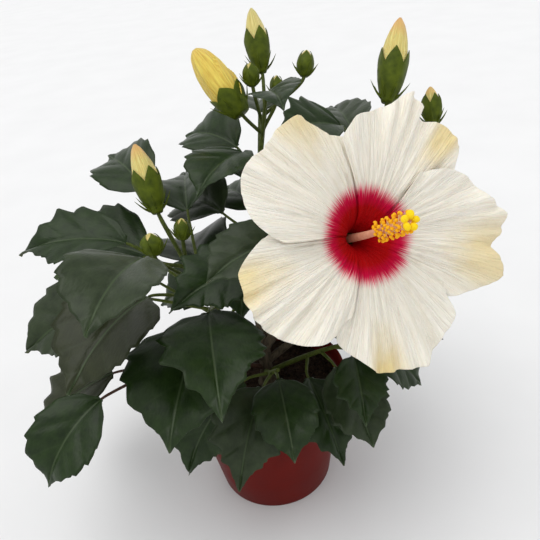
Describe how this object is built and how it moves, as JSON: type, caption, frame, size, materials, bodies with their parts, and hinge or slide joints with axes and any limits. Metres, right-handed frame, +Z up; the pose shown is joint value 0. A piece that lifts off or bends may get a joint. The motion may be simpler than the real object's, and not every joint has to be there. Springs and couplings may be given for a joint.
{
  "type": "potted hibiscus shrub",
  "caption": "Young hibiscus shrub in a round nursery pot, with toothed leaves, pointed buds and a wide open pale bloom with a dark eye.",
  "frame": {"origin": "centre of the pot's flat underside, on the ground", "axes": "+Z up; the bloom looks along -Y, turned a little to +X"},
  "size_m": [0.3411, 0.3117, 0.3603],
  "materials": {
    "pot_plastic": "satin moulded plastic",
    "potting_soil": "moist crumbly potting mix",
    "bark": "young bark with fine ridges",
    "foliage": "living leaves with a soft sheen",
    "petal": "thin veined petals, matt",
    "column": "powdery pollen and soft styles",
    "calyx": "soft green calyx"
  },
  "bodies": {
    "root": {"pot": "pot_plastic", "potting_soil": "potting_soil", "main_stem": "bark", "bough_left": "bark", "bough_rear_left": "bark", "bough_rear_right": "bark", "bough_bloom": "bark", "bough_right": "bark", "bough_back": "bark", "shoot_left": "foliage", "shoot_rear_left": "foliage", "shoot_rear_right": "foliage", "shoot_bloom": "foliage", "shoot_right": "foliage", "shoot_back": "foliage", "shoot_low_front": "foliage", "shoot_low_left": "foliage", "shoot_low_right": "foliage", "shoot_low_back": "foliage", "bloom_petal_1": "petal", "bloom_petal_2": "petal", "bloom_petal_3": "petal", "bloom_petal_4": "petal", "bloom_petal_5": "petal", "bloom_column": "column", "bloom_calyx": "calyx"}
  },
  "joints": []
}
